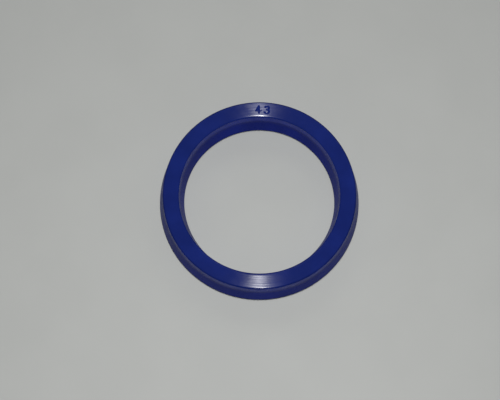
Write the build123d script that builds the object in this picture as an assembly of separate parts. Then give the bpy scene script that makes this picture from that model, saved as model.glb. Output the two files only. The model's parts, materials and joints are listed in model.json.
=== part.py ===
from build123d import *

import os
from math import asin, atan2, hypot, tan

# A U-cup seal for a hydraulic rod or piston: one ring of cast polyurethane, in one piece.
# Millimetres. The ring's axis is Z and it lies as it does on a bench, on the ends of its two
# lips at Z = 0, with the groove between them facing down and the flat heel on top.

# The gland that the ring is made for: a rod, and a groove of this depth round it.
rod_diameter = 35.0
gland_depth = 4.0

# Heel: the solid back of the section. Its walls are parallel and stand clear of rod and bore.
heel_clearance = 0.22
heel_wall_height = 3.1
heel_chamfer = 0.3

# Lips: they flare past rod and bore, and seal on the edge where the flank meets the bevel.
seal_height = 8.0
lip_squeeze = 0.73
flare_radius = 5.0
sealing_edge_height = 1.2
lip_bevel_width = 0.85
lip_end_width = 0.35

# Groove between the lips, which the fluid's pressure spreads. Its root is fully round.
groove_depth = 4.7
groove_root_radius = 0.65

# The section is the same on both sides of its own middle, halfway from rod to bore.
middle_radius = rod_diameter / 2 + gland_depth / 2
heel_half_width = gland_depth / 2 - heel_clearance
lip_half_width = gland_depth / 2 + lip_squeeze
lip_end_half_width = lip_half_width - lip_bevel_width
groove_half_width = lip_end_half_width - lip_end_width

# The groove's walls run straight from the lip ends and touch the root's circle. They would
# meet at this height, and rounding that corner makes the root.
root_centre_height = groove_depth - groove_root_radius
wall_length = hypot(groove_half_width, root_centre_height)
wall_angle = atan2(groove_half_width, root_centre_height) - asin(groove_root_radius / wall_length)
groove_corner_height = groove_half_width / tan(wall_angle)

# Corners of the outer half, down from the heel: distance from the middle, height, rounding.
sharp = 0
outer_half = [
    (heel_half_width - heel_chamfer, seal_height, sharp),
    (heel_half_width, seal_height - heel_chamfer, sharp),
    (heel_half_width, seal_height - heel_wall_height, flare_radius),
    (lip_half_width, sealing_edge_height, sharp),
    (lip_end_half_width, 0, sharp),
    (groove_half_width, 0, sharp),
]
groove_corner = (0, groove_corner_height, groove_root_radius)
inner_half = [(-offset, height, rounding) for offset, height, rounding in reversed(outer_half)]
outline = [*outer_half, groove_corner, *inner_half]


def seal_ring():
    """The whole ring: its section, turned once round the axis."""
    points = [(middle_radius + offset, height) for offset, height, _ in outline]
    roundings = [rounding for _, _, rounding in outline]
    with BuildPart() as ring:
        with BuildSketch(Plane.XZ):
            with BuildLine():
                FilletPolyline(*points, radius=roundings, close=True)
            make_face()
        revolve(axis=Axis.Z)
    return ring.part


os.makedirs("parts", exist_ok=True)
export_step(seal_ring(), "parts/seal_ring.step")
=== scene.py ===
"""Looks of a U-cup seal: a blue polyurethane ring that lies on a pale table, heel up."""

import json
import logging
from dataclasses import dataclass
from enum import Enum
from math import atan2, ceil, cos, hypot, pi, radians, sin, tan
from typing import Any, Sequence

import bpy
from mathutils import Matrix, Vector


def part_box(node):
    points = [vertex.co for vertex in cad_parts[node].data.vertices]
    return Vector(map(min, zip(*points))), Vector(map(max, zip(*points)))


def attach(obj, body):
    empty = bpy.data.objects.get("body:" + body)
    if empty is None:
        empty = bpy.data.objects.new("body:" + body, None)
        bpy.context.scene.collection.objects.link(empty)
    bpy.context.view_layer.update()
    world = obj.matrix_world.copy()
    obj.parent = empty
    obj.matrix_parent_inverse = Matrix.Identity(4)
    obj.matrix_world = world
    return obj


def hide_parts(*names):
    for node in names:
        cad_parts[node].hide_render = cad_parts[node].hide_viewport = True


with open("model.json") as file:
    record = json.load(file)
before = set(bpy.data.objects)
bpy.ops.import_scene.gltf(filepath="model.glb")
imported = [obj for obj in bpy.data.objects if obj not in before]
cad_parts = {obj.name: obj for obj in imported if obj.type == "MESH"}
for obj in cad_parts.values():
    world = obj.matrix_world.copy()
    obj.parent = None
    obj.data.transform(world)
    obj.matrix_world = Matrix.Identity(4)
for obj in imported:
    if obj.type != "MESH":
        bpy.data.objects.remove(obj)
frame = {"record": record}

MM = 0.001
FULL_TURN = 2 * pi
BODY = "root"
NODE = "seal_ring"

Colour = tuple[float, float, float]
Point2 = tuple[float, float]
Span = tuple[float, float]

log = logging.getLogger("seal")


class Tree:
    """Adds nodes to one node tree and joins them."""

    def __init__(self, tree: bpy.types.NodeTree) -> None:
        """Keeps the tree.

        Args:
            tree: The node tree to fill.
        """
        self.tree = tree

    def add(
        self, kind: str, inputs: dict[Any, Any] | None = None, **settings: Any
    ) -> bpy.types.Node:
        """Adds a node.

        Args:
            kind: The node's type name.
            inputs: Values or sockets for its inputs, by name or index.
            settings: Properties of the node, set before its inputs.

        Returns:
            The new node.
        """
        node = self.tree.nodes.new(kind)
        for name, value in settings.items():
            setattr(node, name, value)
        for name, value in (inputs or {}).items():
            self.feed(node.inputs[name], value)
        return node

    def feed(self, socket: bpy.types.NodeSocket, value: Any) -> None:
        """Links a socket to an input, or sets the input's own value.

        Args:
            socket: The input.
            value: A socket or a plain value.
        """
        if isinstance(value, bpy.types.NodeSocket):
            self.tree.links.new(value, socket)
        else:
            socket.default_value = value

    def math(self, operation: str, *values: Any) -> bpy.types.NodeSocket:
        """Adds a math node.

        Args:
            operation: The name of the operation.
            values: Its operands.

        Returns:
            Its result.
        """
        return self.add("ShaderNodeMath", dict(enumerate(values)), operation=operation).outputs[0]

    def vector(self, operation: str, *values: Any) -> bpy.types.Node:
        """Adds a vector math node.

        Args:
            operation: The name of the operation.
            values: Its operands.

        Returns:
            The node, because some operations give a number and some a vector.
        """
        return self.add("ShaderNodeVectorMath", dict(enumerate(values)), operation=operation)

    def blend(self, value: Any, span: Span, results: Span = (0.0, 1.0)) -> bpy.types.NodeSocket:
        """Maps a value from one range to another, with soft ends.

        Args:
            value: The value.
            span: Where the value's range starts and ends.
            results: The results at its start and end.

        Returns:
            The mapped value.
        """
        names = ("From Min", "From Max", "To Min", "To Max")
        inputs = {"Value": value, **dict(zip(names, (*span, *results)))}
        return self.add("ShaderNodeMapRange", inputs, interpolation_type="SMOOTHSTEP").outputs[0]


@dataclass(frozen=True)
class Corner:
    """A corner of the section, in millimetres.

    Attributes:
        offset: Distance outwards from the middle of the section.
        height: Height above the table.
        rounding: Radius of the corner.
        step: Spacing of the points on the straight run after the corner.
    """

    offset: float
    height: float
    rounding: float
    step: float = 0.3


@dataclass(frozen=True)
class Section:
    """The U-shaped section of the seal, in millimetres, the same on both sides of its middle.

    Attributes:
        middle_radius: Radius of the section's middle.
        heel_half_width: Half the width between the heel's walls.
        lip_half_width: Half the width between the sealing edges.
        height: From the lip ends to the heel face.
        heel_wall_height: From the heel face down to where the flanks would start to flare.
        heel_chamfer: Chamfer along both edges of the heel face.
        flare_radius: Radius of the bend between heel wall and flank.
        sealing_edge_height: From the lip ends up to the sealing edges.
        lip_bevel_width: How far the bevel under a sealing edge runs back.
        lip_end_width: Width of the flat that a lip stands on.
        groove_depth: From the lip ends up to the groove's root.
        groove_root_radius: Radius of the root.
        softened_edge: Radius of the edges that a mould or a blade leaves.
        rolled_edge: Radius of the heel face's inner edge, which is worn round.
        dish: Slope at which the heel face falls towards the axis, as rise over run.
        blade_edge: Radius of the sealing edges, which are trimmed sharp.
        fine_step: Spacing of points across the heel face, which holds the size mark.
        arc_step: Largest turn between points on an arc.
    """

    middle_radius: float
    heel_half_width: float
    lip_half_width: float
    height: float
    heel_wall_height: float = 3.1
    heel_chamfer: float = 0.3
    flare_radius: float = 5.0
    sealing_edge_height: float = 1.2
    lip_bevel_width: float = 0.85
    lip_end_width: float = 0.35
    groove_depth: float = 4.7
    groove_root_radius: float = 0.65
    softened_edge: float = 0.08
    rolled_edge: float = 0.55
    dish: float = 0.028
    blade_edge: float = 0.03
    fine_step: float = 0.06
    arc_step: float = radians(12)

    @classmethod
    def from_frame(cls) -> "Section":
        """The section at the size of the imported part, from its box and its round mounts."""
        radius = {m["name"]: m["dims"]["r_mm"] for m in frame["record"]["mounts"] if m["dims"]}
        _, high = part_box(NODE)
        middle = (radius["heel_bore"] + radius["heel_rim"]) / 2
        return cls(middle, radius["heel_rim"] - middle, high.x / MM - middle, high.z / MM)

    @property
    def face_half_width(self) -> float:
        """Half the width of the flat heel face."""
        return self.heel_half_width - self.heel_chamfer

    def corners(self) -> list[Corner]:
        """Corners of the whole section.

        Returns:
            The corners in order, from the outer edge of the heel face down, round the groove
            and up to the inner edge.
        """
        lip_end = self.lip_half_width - self.lip_bevel_width
        mouth = lip_end - self.lip_end_width
        outer = [
            Corner(self.face_half_width, self.height, self.softened_edge, 0.1),
            Corner(self.heel_half_width, self.height - self.heel_chamfer, self.softened_edge),
            Corner(self.heel_half_width, self.height - self.heel_wall_height, self.flare_radius),
            Corner(self.lip_half_width, self.sealing_edge_height, self.blade_edge, 0.2),
            Corner(lip_end, 0, self.softened_edge, 0.1),
            Corner(mouth, 0, self.softened_edge),
        ]
        root = Corner(0, self.groove_corner(mouth), self.groove_root_radius)
        inner = [
            Corner(-c.offset, c.height, c.rounding, before.step)
            for c, before in zip(outer[:0:-1], outer[-2::-1])
        ]
        dished = self.height - self.dish * 2 * self.face_half_width
        rolled = Corner(-self.face_half_width, dished, self.rolled_edge, self.fine_step)
        return [*outer, root, *inner, rolled]

    def groove_corner(self, mouth: float) -> float:
        """Height at which the groove's walls would meet, if its root weren't round.

        Args:
            mouth: Half the width of the groove at the lip ends.

        Returns:
            The height.
        """
        root_centre = self.groove_depth - self.groove_root_radius
        wall = hypot(mouth, root_centre)
        lean = atan2(mouth, root_centre) - atan2(
            self.groove_root_radius, (wall**2 - self.groove_root_radius**2) ** 0.5
        )
        return mouth / tan(lean)

    def outline(self) -> list[Point2]:
        """The closed outline.

        Returns:
            Points in metres, as radius from the axis and height.
        """
        corners = self.corners()
        arcs = [
            self.arc(corners[i - 1], corner, corners[(i + 1) % len(corners)])
            for i, corner in enumerate(corners)
        ]
        points: list[Vector] = []
        for corner, arc, after in zip(corners, arcs, [*arcs[1:], arcs[0]]):
            points += arc
            gap = after[0] - arc[-1]
            steps = max(1, ceil(gap.length / corner.step))
            points += [arc[-1] + gap * (k / steps) for k in range(1, steps)]
        return [((self.middle_radius + p.x) * MM, p.y * MM) for p in points]

    def arc(self, before: Corner, corner: Corner, after: Corner) -> list[Vector]:
        """Points of the arc that rounds a corner.

        Args:
            before: The corner before it.
            corner: The corner to round.
            after: The corner after it.

        Returns:
            Points in millimetres, from one end of the arc to the other.
        """
        here, back, on = (Vector((c.offset, c.height)) for c in (corner, before, after))
        to_back, to_on = (back - here).normalized(), (on - here).normalized()
        half = to_back.angle(to_on) / 2
        start = here + to_back * (corner.rounding / tan(half))
        centre = here + (to_back + to_on).normalized() * (corner.rounding / sin(half))
        turn = pi - 2 * half
        steps = max(2, ceil(turn / self.arc_step))
        clockwise = to_back.x * to_on.y - to_back.y * to_on.x > 0
        each = (-turn if clockwise else turn) / steps
        spoke = start - centre
        return [centre + Matrix.Rotation(each * k, 2) @ spoke for k in range(steps + 1)]


class Digit(Enum):
    """The digits that the size mark uses."""

    THREE = 3
    FOUR = 4

    def strokes(self) -> list[list[Point2]]:
        """The digit's strokes.

        Returns:
            Lines of points in a box one wide and one high.
        """
        if self is Digit.FOUR:
            return [[(0.62, 0), (0.62, 1), (0, 0.32), (1, 0.32)]]
        upper = ellipse((0.46, 0.76), (0.44, 0.24), 155, -90)
        lower = ellipse((0.46, 0.26), (0.54, 0.26), 90, -155)
        return [upper, lower]


def ellipse(centre: Point2, radii: Point2, start: float, end: float) -> list[Point2]:
    """Points along part of an ellipse.

    Args:
        centre: Its centre.
        radii: Its half width and half height.
        start: Angle of the first point, in degrees.
        end: Angle of the last point, in degrees.

    Returns:
        The points.
    """
    steps = 16
    angles = [radians(start + (end - start) * k / steps) for k in range(steps + 1)]
    return [(centre[0] + radii[0] * cos(a), centre[1] + radii[1] * sin(a)) for a in angles]


@dataclass(frozen=True)
class SizeMark:
    """The bore's diameter in millimetres, sunk in the heel face with round-bottomed strokes.

    Attributes:
        digits: The digits, from left to right as read from inside the ring.
        azimuth: Angle of the first digit's middle, anticlockwise from the X axis.
        pitch: Distance between digits.
        width: Width of a digit, between the middles of its strokes.
        height: Height of a digit, between the middles of its strokes.
        depth: Depth of a stroke.
        half_width: Half the width of a stroke.
        margin: Finely divided stretch of the ring before and after the digits.
    """

    digits: tuple[Digit, ...] = (Digit.FOUR, Digit.THREE)
    azimuth: float = radians(90.6)
    pitch: float = 1.9
    width: float = 1.0
    height: float = 1.6
    depth: float = 0.12
    half_width: float = 0.18
    margin: float = 1.1

    def span(self, radius: float) -> Point2:
        """The finely divided stretch of the ring.

        Args:
            radius: Radius of the circle that the digits stand on.

        Returns:
            Angle where the stretch starts, and how far it sweeps.
        """
        sweep = ((len(self.digits) - 1) * self.pitch + 2 * self.margin) / radius
        return self.azimuth + self.margin / radius - sweep, sweep

    def build(self, section: Section) -> bpy.types.Object:
        """Builds the middle lines of the strokes, at the height of the heel face.

        Args:
            section: The section whose heel face carries them.

        Returns:
            An object of edges alone, for the ring's node tree to measure from.
        """
        points: list[Vector] = []
        edges: list[tuple[int, int]] = []
        for place, digit in enumerate(self.digits):
            angle = self.azimuth - place * self.pitch / section.middle_radius
            outwards = Vector((cos(angle), sin(angle), 0))
            rightwards = Vector((sin(angle), -cos(angle), 0))
            middle = outwards * section.middle_radius + Vector((0, 0, section.height))
            for stroke in digit.strokes():
                first = len(points)
                edges += [(first + k, first + k + 1) for k in range(len(stroke) - 1)]
                points += [
                    middle
                    + rightwards * ((across - 0.5) * self.width)
                    + outwards * ((up - 0.5) * self.height)
                    for across, up in stroke
                ]
        return line_object("size_mark_strokes", [p * MM for p in points], edges)


def line_object(
    name: str, points: Sequence[Vector], edges: Sequence[tuple[int, int]]
) -> bpy.types.Object:
    """Makes an object of points and edges alone.

    Args:
        name: Its name.
        points: Its points, in metres.
        edges: Pairs of point numbers.

    Returns:
        The object, linked to the scene.
    """
    mesh = bpy.data.meshes.new(name)
    mesh.from_pydata([tuple(p) for p in points], edges, [])
    made = bpy.data.objects.new(name, mesh)
    bpy.context.scene.collection.objects.link(made)
    return made


@dataclass(frozen=True)
class Polyurethane:
    """Moulded blue polyurethane, semi-gloss, as on the flanks, the groove and the bevels.

    Attributes:
        name: The material's name.
        colour: Colour of the heel's edges and the mark's strokes.
        wall: Colour of the heel's walls, painted brighter as a painted reflection of the pale
            table.
        lip: Colour of the lips.
        cloudy: How much stronger the colour is in its cloudiest patches.
        roughness: Its middle roughness.
        roughness_swing: How far the roughness drifts either way.
        grain: Height of the fine grain, in metres.
        index: Index of refraction.
    """

    # Heights in millimetres over which the lips' colour turns into the walls' colour with its
    # painted reflection, and that into the edges' colour.
    PAINTED_REFLECTION_START = (4.8, 6.0)
    PAINTED_REFLECTION_END = (7.45, 7.7)

    name: str = "polyurethane_moulded"
    colour: Colour = (0.0065, 0.0150, 0.118)
    # The walls' brighter blue is a painted reflection of the table.
    wall: Colour = (0.0055, 0.0230, 0.320)
    lip: Colour = (0.0040, 0.0125, 0.165)
    cloudy: float = 1.25
    roughness: float = 0.30
    roughness_swing: float = 0.05
    grain: float = 1.5e-6
    index: float = 1.12

    def material(self) -> bpy.types.Material:
        """Builds the material.

        Returns:
            The material.
        """
        made = bpy.data.materials.new(self.name)
        made.use_nodes = True
        made.node_tree.nodes.clear()
        tree = Tree(made.node_tree)
        place = tree.vector("SCALE", tree.add("ShaderNodeTexCoord").outputs["Object"])
        place.inputs["Scale"].default_value = 1 / MM
        shader = self.shader(tree, place.outputs[0])
        output = tree.add("ShaderNodeOutputMaterial", {"Surface": shader.outputs[0]})
        output.is_active_output = True
        return made

    def shader(self, tree: Tree, place: bpy.types.NodeSocket) -> bpy.types.Node:
        """Adds the shader and what feeds it.

        Args:
            tree: The material's tree.
            place: The point being shaded, in millimetres.

        Returns:
            The shader.
        """
        inputs = {
            "Base Color": self.tint(tree, place),
            "Roughness": self.gloss(tree, place),
            "Normal": self.relief(tree, place),
            "IOR": self.index,
        }
        return tree.add("ShaderNodeBsdfPrincipled", inputs)

    def tint(self, tree: Tree, place: bpy.types.NodeSocket) -> bpy.types.NodeSocket:
        """Adds the colour, which changes with height, with a painted reflection on the heel's
        walls, and drifts between clear and cloudy.

        Args:
            tree: The material's tree.
            place: The point being shaded, in millimetres.

        Returns:
            The colour.
        """
        height = tree.add("ShaderNodeSeparateXYZ", {0: place}).outputs[2]
        # Painted reflection: the walls are painted brighter than the lips and the edges.
        walls = self.mix(tree, tree.blend(height, self.PAINTED_REFLECTION_START), self.lip, self.wall)
        tinted = self.mix(tree, tree.blend(height, self.PAINTED_REFLECTION_END), walls, self.colour)
        cloud = tree.add("ShaderNodeTexNoise", {"Vector": place, "Scale": 0.16, "Detail": 3.0})
        gain = tree.blend(cloud.outputs[0], (0.35, 0.75), (1.0, self.cloudy))
        clouded = tree.vector("SCALE", tinted)
        tree.feed(clouded.inputs["Scale"], gain)
        return clouded.outputs[0]

    def mix(self, tree: Tree, share: Any, low: Any, high: Any) -> bpy.types.NodeSocket:
        """Adds a mix of two colours.

        Args:
            tree: The material's tree.
            share: How much of the second colour it holds.
            low: The first colour, plain or a socket.
            high: The second colour.

        Returns:
            The mixed colour.
        """
        inputs = {0: share}
        for place, colour in ((6, low), (7, high)):
            inputs[place] = (*colour, 1) if isinstance(colour, tuple) else colour
        return tree.add("ShaderNodeMix", inputs, data_type="RGBA").outputs[2]

    def gloss(self, tree: Tree, place: bpy.types.NodeSocket) -> bpy.types.NodeSocket:
        """Adds the roughness, which drifts a little.

        Args:
            tree: The material's tree.
            place: The point being shaded, in millimetres.

        Returns:
            The roughness.
        """
        drift = tree.add("ShaderNodeTexNoise", {"Vector": place, "Scale": 0.7, "Detail": 4.0})
        limits = (self.roughness - self.roughness_swing, self.roughness + self.roughness_swing)
        return tree.blend(drift.outputs[0], (0.3, 0.7), limits)

    def relief(self, tree: Tree, place: bpy.types.NodeSocket) -> bpy.types.NodeSocket:
        """Adds the fine grain that a mould leaves.

        Args:
            tree: The material's tree.
            place: The point being shaded, in millimetres.

        Returns:
            The bumped normal.
        """
        grain = tree.add("ShaderNodeTexNoise", {"Vector": place, "Scale": 2.5, "Detail": 3.0})
        inputs = {"Height": grain.outputs[0], "Distance": self.grain, "Strength": 1.0}
        return tree.add("ShaderNodeBump", inputs).outputs[0]


@dataclass(frozen=True)
class TurnedPolyurethane(Polyurethane):
    """The heel face, which carries the concentric marks of a turned mould face.

    Attributes:
        mark_height: Height of the coarser marks, in metres.
        marks_per_mm: How close they lie.
        marks_around: How often they change along one radius's length of their way round.
        anisotropy: How far they spread a highlight across themselves.
    """

    name: str = "polyurethane_turned"
    roughness: float = 0.19
    roughness_swing: float = 0.015
    index: float = 1.335
    mark_height: float = 21e-6
    marks_per_mm: float = 2.7
    marks_around: float = 1.2
    anisotropy: float = 1.0

    def shader(self, tree: Tree, place: bpy.types.NodeSocket) -> bpy.types.Node:
        """Adds the shader, with its highlight spread across the marks.

        Args:
            tree: The material's tree.
            place: The point being shaded, in millimetres.

        Returns:
            The shader.
        """
        made = super().shader(tree, place)
        along = tree.add("ShaderNodeTangent", direction_type="RADIAL", axis="Z")
        tree.feed(made.inputs["Tangent"], along.outputs[0])
        made.inputs["Anisotropic"].default_value = self.anisotropy
        made.inputs["Anisotropic Rotation"].default_value = 0.25
        return made

    def relief(self, tree: Tree, place: bpy.types.NodeSocket) -> bpy.types.NodeSocket:
        """Adds the concentric marks, each fading in and out as it goes round.

        Args:
            tree: The material's tree.
            place: The point being shaded, in millimetres.

        Returns:
            The bumped normal.
        """
        flat = tree.vector("MULTIPLY", place, (1, 1, 0)).outputs[0]
        radius = tree.vector("LENGTH", flat).outputs["Value"]
        way = tree.add("ShaderNodeSeparateXYZ", {0: tree.vector("NORMALIZE", flat).outputs[0]})
        across = tree.math("MULTIPLY", radius, self.marks_per_mm)
        turned = tree.add(
            "ShaderNodeCombineXYZ",
            {
                0: across,
                1: tree.math("MULTIPLY", way.outputs[0], self.marks_around),
                2: tree.math("MULTIPLY", way.outputs[1], self.marks_around),
            },
        )
        noise = {"Vector": turned.outputs[0], "Scale": 1.0, "Detail": 2.0}
        marks = tree.add("ShaderNodeTexNoise", noise)
        inputs = {"Height": marks.outputs[0], "Distance": self.mark_height, "Strength": 1.0}
        return tree.add("ShaderNodeBump", inputs).outputs[0]


@dataclass(frozen=True)
class SealRing:
    """The whole seal, one moulded ring.

    Attributes:
        section: Its section.
        mark: The size mark in its heel face.
        moulded: Finish of everything but the heel face.
        turned: Finish of the heel face.
        steps_around: Divisions of the ring outside the size mark.
        mark_steps: Divisions of the ring within the size mark.
    """

    section: Section
    mark: SizeMark = SizeMark()
    moulded: Polyurethane = Polyurethane()
    turned: Polyurethane = TurnedPolyurethane()
    steps_around: int = 240
    mark_steps: int = 72

    def build(self) -> bpy.types.Object:
        """Builds the ring and puts it in place of the plain solid.

        Returns:
            The finished ring.
        """
        outline = self.section.outline()
        points = [Vector((radius, 0, height)) for radius, height in outline]
        edges = [(k, (k + 1) % len(points)) for k in range(len(points))]
        profile = line_object("seal_section", points, edges)
        strokes = self.mark.build(self.section)
        ring = self.revolve(profile, strokes)
        for helper in (profile, strokes):
            bpy.data.objects.remove(helper)
        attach(ring, BODY)
        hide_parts(NODE)
        return ring

    def revolve(self, profile: bpy.types.Object, strokes: bpy.types.Object) -> bpy.types.Object:
        """Turns the section round the axis and sinks the size mark.

        Args:
            profile: The closed section in the XZ plane.
            strokes: The middle lines of the mark's strokes.

        Returns:
            The ring as a plain mesh.
        """
        start, sweep = self.mark.span(self.section.middle_radius)
        values = {
            "Steps around": self.steps_around,
            "Mark steps": self.mark_steps,
            "Mark start": start,
            "Mark sweep": sweep,
            "Mark depth": self.mark.depth * MM,
            "Stroke half width": self.mark.half_width * MM,
            "Strokes": strokes,
            "Face height": self.section.height * MM,
            "Face middle": self.section.middle_radius * MM,
            "Face half width": self.section.face_half_width * MM,
            "Moulded": self.moulded.material(),
            "Turned": self.turned.material(),
        }
        group = RingTree().build()
        items = group.interface.items_tree
        sockets = {item.name: item.identifier for item in items if item.item_type == "SOCKET"}
        modifier = profile.modifiers.new("revolve", "NODES")
        modifier.node_group = group
        for name, value in values.items():
            modifier[sockets[name]] = value
        ready = profile.evaluated_get(bpy.context.evaluated_depsgraph_get())
        mesh = bpy.data.meshes.new_from_object(ready)
        profile.modifiers.remove(modifier)
        mesh.name = NODE + "_dressed"
        ring = bpy.data.objects.new(NODE + "_dressed", mesh)
        bpy.context.scene.collection.objects.link(ring)
        return ring


class RingTree:
    """The geometry tree that turns a closed section into a ring and sinks a mark in its face."""

    SOCKETS = {
        "Steps around": "NodeSocketInt",
        "Mark steps": "NodeSocketInt",
        "Mark start": "NodeSocketFloat",
        "Mark sweep": "NodeSocketFloat",
        "Mark depth": "NodeSocketFloat",
        "Stroke half width": "NodeSocketFloat",
        "Strokes": "NodeSocketObject",
        "Face height": "NodeSocketFloat",
        "Face middle": "NodeSocketFloat",
        "Face half width": "NodeSocketFloat",
        "Moulded": "NodeSocketMaterial",
        "Turned": "NodeSocketMaterial",
    }
    # Points this close, in metres, are one point.
    WELD = 1e-6
    # Shares of half a stroke's width: out to the flat of its bottom, and to the foot of its bank.
    STROKE_BANK = (0.3, 1.0)
    FLOOR_SHARE = 0.85
    # Reach of the face below its highest level, in depths of the mark.
    FACE_REACH = 1.5

    def __init__(self) -> None:
        """Makes the group with its named inputs."""
        self.group = bpy.data.node_groups.new("revolved_ring", "GeometryNodeTree")
        for name, kind in {"Geometry": "NodeSocketGeometry", **self.SOCKETS}.items():
            self.group.interface.new_socket(name, in_out="INPUT", socket_type=kind)
        self.group.interface.new_socket(
            "Geometry", in_out="OUTPUT", socket_type="NodeSocketGeometry"
        )
        self.tree = Tree(self.group)
        self.given = self.tree.add("NodeGroupInput").outputs

    def build(self) -> bpy.types.NodeTree:
        """Fills the group.

        Returns:
            The finished group.
        """
        tree = self.tree
        ring = {"Geometry": self.sink_mark(self.turn_section()), "Distance": self.WELD}
        welded = tree.add("GeometryNodeMergeByDistance", ring)
        smooth = tree.add("GeometryNodeSetShadeSmooth", {0: welded.outputs[0]})
        real = tree.add("GeometryNodeRealizeInstances", {0: smooth.outputs[0]})
        whole = {"Geometry": real.outputs[0], "Material": self.given["Moulded"]}
        moulded = tree.add("GeometryNodeSetMaterial", whole)
        level = tree.math("GREATER_THAN", self.stroke_share(), self.FLOOR_SHARE)
        face = {
            "Geometry": moulded.outputs[0],
            "Selection": tree.math("MULTIPLY", self.on_face(), level),
            "Material": self.given["Turned"],
        }
        dressed = tree.add("GeometryNodeSetMaterial", face)
        tree.add("NodeGroupOutput", {0: dressed.outputs[0]})
        return self.group

    def turn_section(self) -> bpy.types.NodeSocket:
        """Lays a grid of points round the axis, one row of the section at each step.

        Returns:
            The ring, still open where its first and last rows meet.
        """
        tree, given = self.tree, self.given
        size = tree.add("GeometryNodeAttributeDomainSize", {"Geometry": given["Geometry"]})
        row = tree.math("ADD", size.outputs["Point Count"], 1)
        steps = tree.math("ADD", given["Steps around"], given["Mark steps"])
        grid = tree.add(
            "GeometryNodeMeshGrid", {"Vertices X": tree.math("ADD", steps, 1), "Vertices Y": row}
        )
        index = tree.add("GeometryNodeInputIndex").outputs[0]
        step = tree.math("FLOOR", tree.math("DIVIDE", tree.math("ADD", index, 0.5), row))
        in_row = tree.math("SUBTRACT", index, tree.math("MULTIPLY", step, row))
        point = tree.math("MODULO", in_row, size.outputs["Point Count"])
        source = tree.add(
            "GeometryNodeSampleIndex",
            {
                "Geometry": given["Geometry"],
                "Value": tree.add("GeometryNodeInputPosition").outputs[0],
                "Index": tree.math("ROUND", point),
            },
            data_type="FLOAT_VECTOR",
        )
        at = tree.add("ShaderNodeSeparateXYZ", {0: source.outputs[0]}).outputs
        angle = self.angle(step)
        place = tree.add(
            "ShaderNodeCombineXYZ",
            {
                0: tree.math("MULTIPLY", at[0], tree.math("COSINE", angle)),
                1: tree.math("MULTIPLY", at[0], tree.math("SINE", angle)),
                2: at[2],
            },
        )
        inputs = {"Geometry": grid.outputs[0], "Position": place.outputs[0]}
        return tree.add("GeometryNodeSetPosition", inputs).outputs[0]

    def angle(self, step: bpy.types.NodeSocket) -> bpy.types.NodeSocket:
        """The angle of a step: close steps through the mark, and even ones round the rest.

        Args:
            step: The step's number.

        Returns:
            The angle, in radians.
        """
        tree, given = self.tree, self.given
        mark_steps = given["Mark steps"]
        close = tree.math("DIVIDE", tree.math("MINIMUM", step, mark_steps), mark_steps)
        past = tree.math("MAXIMUM", tree.math("SUBTRACT", step, mark_steps), 0.0)
        even = tree.math("DIVIDE", past, given["Steps around"])
        in_mark = tree.math("MULTIPLY_ADD", close, given["Mark sweep"], given["Mark start"])
        rest = tree.math("SUBTRACT", FULL_TURN, given["Mark sweep"])
        return tree.math("MULTIPLY_ADD", even, rest, in_mark)

    def sink_mark(self, ring: bpy.types.NodeSocket) -> bpy.types.NodeSocket:
        """Sinks the heel face near each stroke.

        Args:
            ring: The plain ring.

        Returns:
            The ring with its mark.
        """
        tree = self.tree
        bank = tree.blend(self.stroke_share(), self.STROKE_BANK, (-1.0, 0.0))
        sunk = tree.math("MULTIPLY", bank, self.given["Mark depth"])
        offset = tree.add("ShaderNodeCombineXYZ", {2: sunk}).outputs[0]
        inputs = {"Geometry": ring, "Selection": self.on_face(), "Offset": offset}
        return tree.add("GeometryNodeSetPosition", inputs).outputs[0]

    def stroke_share(self) -> bpy.types.NodeSocket:
        """Measures how far aside the nearest stroke lies, against half a stroke's width.

        Returns:
            Zero on a stroke's middle line and one at its edge.
        """
        tree, given = self.tree, self.given
        strokes = tree.add("GeometryNodeObjectInfo", {"Object": given["Strokes"]})
        position = tree.add("GeometryNodeInputPosition").outputs[0]
        at = tree.add("ShaderNodeSeparateXYZ", {0: position}).outputs
        level = tree.add("ShaderNodeCombineXYZ", {0: at[0], 1: at[1], 2: given["Face height"]})
        lines = {0: strokes.outputs["Geometry"], "Sample Position": level.outputs[0]}
        near = tree.add("GeometryNodeProximity", lines, target_element="EDGES")
        return tree.math("DIVIDE", near.outputs["Distance"], given["Stroke half width"])

    def on_face(self) -> bpy.types.NodeSocket:
        """Says which points or faces lie on the heel face.

        Returns:
            True on the heel face.
        """
        tree, given = self.tree, self.given
        position = tree.add("GeometryNodeInputPosition").outputs[0]
        height = tree.add("ShaderNodeSeparateXYZ", {0: position}).outputs[2]
        flat = tree.vector("MULTIPLY", position, (1, 1, 0)).outputs[0]
        radius = tree.vector("LENGTH", flat).outputs["Value"]
        off_middle = tree.math("ABSOLUTE", tree.math("SUBTRACT", radius, given["Face middle"]))
        within = tree.math("LESS_THAN", off_middle, given["Face half width"])
        lowest = tree.math(
            "MULTIPLY_ADD", given["Mark depth"], -self.FACE_REACH, given["Face height"]
        )
        return tree.math("MULTIPLY", within, tree.math("GREATER_THAN", height, lowest))


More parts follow.
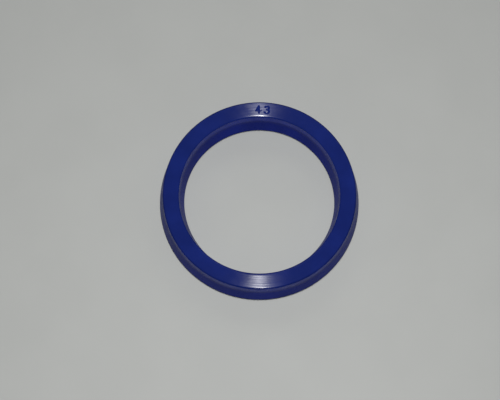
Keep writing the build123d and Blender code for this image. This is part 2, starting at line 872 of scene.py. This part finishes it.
@dataclass(frozen=True)
class TableTop:
    """A pale grey laminate table.

    Attributes:
        colour: Its colour.
        mottle: Share by which its colour drifts.
        roughness: Its roughness.
        reach: Radius of the stretch that is modelled, in metres.
        sides: Number of points round its rim.
    """

    colour: Colour = (0.404, 0.413, 0.399)
    mottle: float = 0.015
    roughness: float = 0.6
    reach: float = 0.16
    sides: int = 96

    def build(self) -> bpy.types.Object:
        """Builds the table's top at the height of the lip ends.

        Returns:
            The table top.
        """
        mesh = bpy.data.meshes.new("table_top")
        turns = [FULL_TURN * k / self.sides for k in range(self.sides)]
        rim = [(self.reach * cos(turn), self.reach * sin(turn), 0) for turn in turns]
        mesh.from_pydata(rim, [], [tuple(range(self.sides))])
        mesh.materials.append(self.material())
        made = bpy.data.objects.new("table_top", mesh)
        bpy.context.scene.collection.objects.link(made)
        return made

    def material(self) -> bpy.types.Material:
        """Builds the laminate.

        Returns:
            The material.
        """
        made = bpy.data.materials.new("table_laminate")
        made.use_nodes = True
        made.node_tree.nodes.clear()
        tree = Tree(made.node_tree)
        place = tree.add("ShaderNodeTexCoord").outputs["Object"]
        cloud = tree.add("ShaderNodeTexNoise", {"Vector": place, "Scale": 60.0, "Detail": 5.0})
        gain = tree.blend(cloud.outputs[0], (0.3, 0.7), (1 - self.mottle, 1 + self.mottle))
        tint = tree.vector("SCALE", self.colour)
        tree.feed(tint.inputs["Scale"], gain)
        inputs = {"Base Color": tint.outputs[0], "Roughness": self.roughness}
        shader = tree.add("ShaderNodeBsdfPrincipled", inputs)
        tree.add("ShaderNodeOutputMaterial", {"Surface": shader.outputs[0]})
        return made


@dataclass(frozen=True)
class Lamp:
    """A soft box that faces the ring.

    Attributes:
        name: Its name.
        azimuth: Where it stands, in degrees, with 0 in front of the ring and 90 to its right.
        elevation: Its angle above the table, in degrees.
        distance: Its distance from the ring, in metres.
        width: Its width, in metres.
        depth: Its other side, in metres, which runs away from the front.
        level: The share of full daylight that it gives the table.
        colour: Its colour.
        shift: How far it stands to the right of that place, in metres.
    """

    name: str
    azimuth: float
    elevation: float
    distance: float
    width: float
    depth: float
    level: float
    colour: Colour = (1.0, 1.0, 1.0)
    shift: float = 0.0

    def build(self) -> bpy.types.Object:
        """Builds the lamp.

        Returns:
            The lamp.
        """
        turn, rise = radians(self.azimuth), radians(self.elevation)
        away = Vector((sin(turn) * cos(rise), -cos(turn) * cos(rise), sin(rise)))
        light = bpy.data.lights.new(self.name, "AREA")
        light.shape = "RECTANGLE"
        light.size, light.size_y = self.width, self.depth
        light.energy = self.level * (pi * self.distance) ** 2 / sin(rise)
        light.color = self.colour
        made = bpy.data.objects.new(self.name, light)
        made.location = away * self.distance + Vector((self.shift, 0, 0))
        made.rotation_euler = away.to_track_quat("Z", "Y").to_euler()
        made.visible_camera = False
        bpy.context.scene.collection.objects.link(made)
        return made


@dataclass(frozen=True)
class Studio:
    """The light, the surroundings and the camera.

    Attributes:
        section: The seal's section, which the camera is placed from.
        lamps: The soft boxes.
        room_level: Brightness of the dim room round the table.
        backdrop: Colour seen past the table's edge.
        elevation: The camera's angle above the table, in degrees.
        distance: From the middle of the heel face to the camera's plane, in metres.
        right: How far the camera stands to the right of the ring's middle, in metres.
        up: How far it stands above the line to the ring's middle, in metres.
        lens: Focal length, in millimetres.
        sensor: Sensor width, in millimetres.
    """

    section: Section
    lamps: tuple[Lamp, ...] = (
        Lamp("key", 0, 82.6, 0.334, 0.009, 0.060, 0.86, shift=0.0012),
        Lamp("back_softbox", 180, 47, 0.50, 0.50, 0.16, 0.06),
    )
    room_level: float = 0.08
    backdrop: Colour = (0.30, 0.306, 0.296)
    elevation: float = 75.42
    distance: float = 0.33807
    right: float = -0.00208
    up: float = -0.0013
    lens: float = 110.9
    sensor: float = 36.0

    def build(self) -> bpy.types.Object:
        """Builds the light and the camera.

        Returns:
            The camera.
        """
        for lamp in self.lamps:
            lamp.build()
        self.surround()
        return self.camera()

    def surround(self) -> None:
        """Makes the world: a dim room for light and gloss, and a pale backdrop to the eye."""
        world = bpy.data.worlds.new("room")
        world.use_nodes = True
        world.node_tree.nodes.clear()
        tree = Tree(world.node_tree)
        seen = tree.add("ShaderNodeLightPath").outputs["Is Camera Ray"]
        room, backdrop = (
            tree.add("ShaderNodeBackground", {"Color": (*colour, 1), "Strength": strength})
            for colour, strength in (((1, 1, 1), self.room_level), (self.backdrop, 1.0))
        )
        shaders = {0: seen, 1: room.outputs[0], 2: backdrop.outputs[0]}
        mixed = tree.add("ShaderNodeMixShader", shaders)
        tree.add("ShaderNodeOutputWorld", {"Surface": mixed.outputs[0]})
        bpy.context.scene.world = world

    def camera(self) -> bpy.types.Object:
        """Builds the camera.

        Returns:
            The camera, set as the scene's own.
        """
        rise = radians(self.elevation)
        back, up = Vector((0, -cos(rise), sin(rise))), Vector((0, sin(rise), cos(rise)))
        lens = bpy.data.cameras.new("camera")
        lens.lens, lens.sensor_width = self.lens, self.sensor
        lens.clip_start = 0.01
        made = bpy.data.objects.new("camera", lens)
        face = Vector((0, 0, self.section.height * MM))
        made.location = face + back * self.distance + up * self.up + Vector((self.right, 0, 0))
        made.rotation_euler = (pi / 2 - rise, 0, 0)
        bpy.context.scene.collection.objects.link(made)
        bpy.context.scene.camera = made
        return made


def main() -> None:
    """Builds the seal, the table and the studio."""
    logging.basicConfig(level=logging.INFO, format="%(name)s: %(message)s")
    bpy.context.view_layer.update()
    section = Section.from_frame()
    camera = Studio(section).build()
    log.info("camera %s looks at the heel face", camera.name)
    ring = SealRing(section).build()
    log.info("%s has %d faces", ring.name, len(ring.data.polygons))
    table = TableTop().build()
    log.info("%s carries the ring", table.name)
    bpy.context.scene.view_settings.view_transform = "Standard"


if __name__ == "__main__":
    main()
